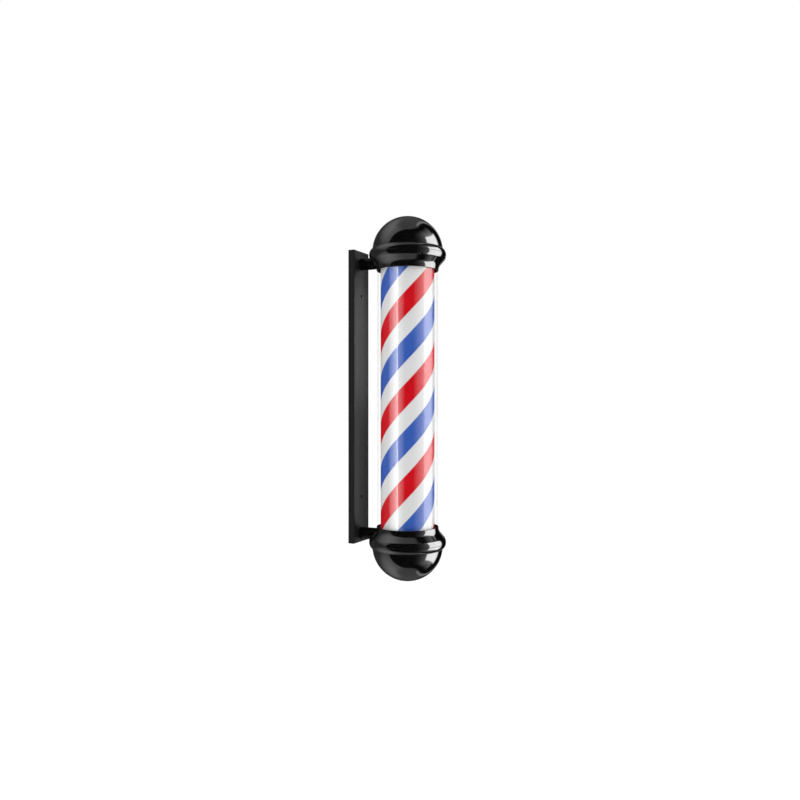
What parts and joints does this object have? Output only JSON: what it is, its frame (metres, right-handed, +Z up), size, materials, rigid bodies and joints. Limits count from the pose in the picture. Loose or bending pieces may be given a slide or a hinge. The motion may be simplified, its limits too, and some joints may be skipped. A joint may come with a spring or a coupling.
{
  "type": "barber pole light",
  "caption": "Wall-mounted barber pole light: a lit striped drum turns inside a clear tube between two domed caps on a bracket.",
  "frame": {"origin": "middle of the back plate's rear face, on the wall", "axes": "+Z up along the pole, +Y into the wall, -Y out into the room"},
  "size_m": [0.1502, 0.1911, 0.7098],
  "materials": {
    "gloss_black": "gloss black enamel",
    "satin_black": "satin black powder coat",
    "clear_acrylic": "clear polished acrylic",
    "stripe_print": "white translucent plastic printed with red and blue diagonal bands",
    "opal_diffuser": "opal diffuser",
    "moulded_white": "moulded white plastic",
    "moulded_black": "moulded black plastic",
    "rocker_red": "red rocker",
    "bright_steel": "zinc-plated steel",
    "aluminium": "bare aluminium",
    "brass": "turned brass",
    "rubber": "black rubber"
  },
  "bodies": {
    "frame": {"wall_bracket": "satin_black", "back_plate": "satin_black", "cable_grommet": "rubber", "terminal_block": "moulded_white", "upper_arm": "gloss_black", "lower_arm": "gloss_black", "upper_arm_nipple": "bright_steel", "lower_arm_nipple": "bright_steel", "upper_bracket_nut": "brass", "upper_cap_nut": "brass", "lower_bracket_nut": "brass", "lower_cap_nut": "brass", "top_dome": "gloss_black", "bottom_dome": "gloss_black", "upper_collar": "gloss_black", "lower_collar": "gloss_black", "outer_tube": "clear_acrylic", "upper_tube_gasket": "rubber", "lower_tube_gasket": "rubber", "top_dome_screw_1": "satin_black", "top_dome_screw_2": "satin_black", "top_dome_screw_3": "satin_black", "top_dome_screw_4": "satin_black", "bottom_dome_screw_1": "satin_black", "bottom_dome_screw_2": "satin_black", "bottom_dome_screw_3": "satin_black", "bottom_dome_screw_4": "satin_black", "top_plate": "aluminium", "motor_plate": "aluminium", "top_plate_screw_1": "bright_steel", "top_plate_screw_2": "bright_steel", "top_plate_screw_3": "bright_steel", "motor_plate_screw_1": "bright_steel", "motor_plate_screw_2": "bright_steel", "motor_plate_screw_3": "bright_steel", "gear_motor": "bright_steel", "motor_screw_1": "bright_steel", "motor_screw_2": "bright_steel", "lamp_stem": "bright_steel", "lamp_stem_nut": "brass", "bearing_inner_race": "bright_steel", "lamp_core": "aluminium", "lamp_diffuser": "opal_diffuser", "lamp_upper_cap": "aluminium", "lamp_lower_cap": "aluminium", "led_driver": "moulded_white", "upper_lead": "moulded_white", "lower_lead": "moulded_white", "light_switch_body": "moulded_black", "motor_switch_body": "moulded_black"},
    "drum": {"striped_sleeve": "stripe_print", "drum_upper_disc": "moulded_white", "drum_lower_disc": "moulded_white", "drive_hub": "aluminium", "motor_shaft": "bright_steel", "hub_grub_screw": "bright_steel", "bearing_outer_race": "bright_steel"},
    "balls": {"bearing_balls": "bright_steel"},
    "light_key": {"light_rocker": "rocker_red"},
    "motor_key": {"motor_rocker": "rocker_red"}
  },
  "joints": [
    {"name": "drum_spin", "type": "hinge", "parent": "frame", "child": "drum", "pos_m": [0, -0.116, 0], "axis": [0, 0, 1], "continuous": true},
    {"name": "balls_spin", "type": "hinge", "parent": "frame", "child": "balls", "pos_m": [0, -0.116, 0.249], "axis": [0, 0, 1], "continuous": true},
    {"name": "light_switch_press", "type": "hinge", "parent": "frame", "child": "light_key", "pos_m": [0.04286, -0.12886, -0.33747], "axis": [0.2874, 0.9578, 0], "range_deg": [0, 16]},
    {"name": "motor_switch_press", "type": "hinge", "parent": "frame", "child": "motor_key", "pos_m": [0.04286, -0.10314, -0.33747], "axis": [-0.2874, 0.9578, 0], "range_deg": [0, 16]}
  ],
  "couplings": [
    {"joint": "balls_spin", "follows": "drum_spin", "ratio": 0.5746}
  ]
}
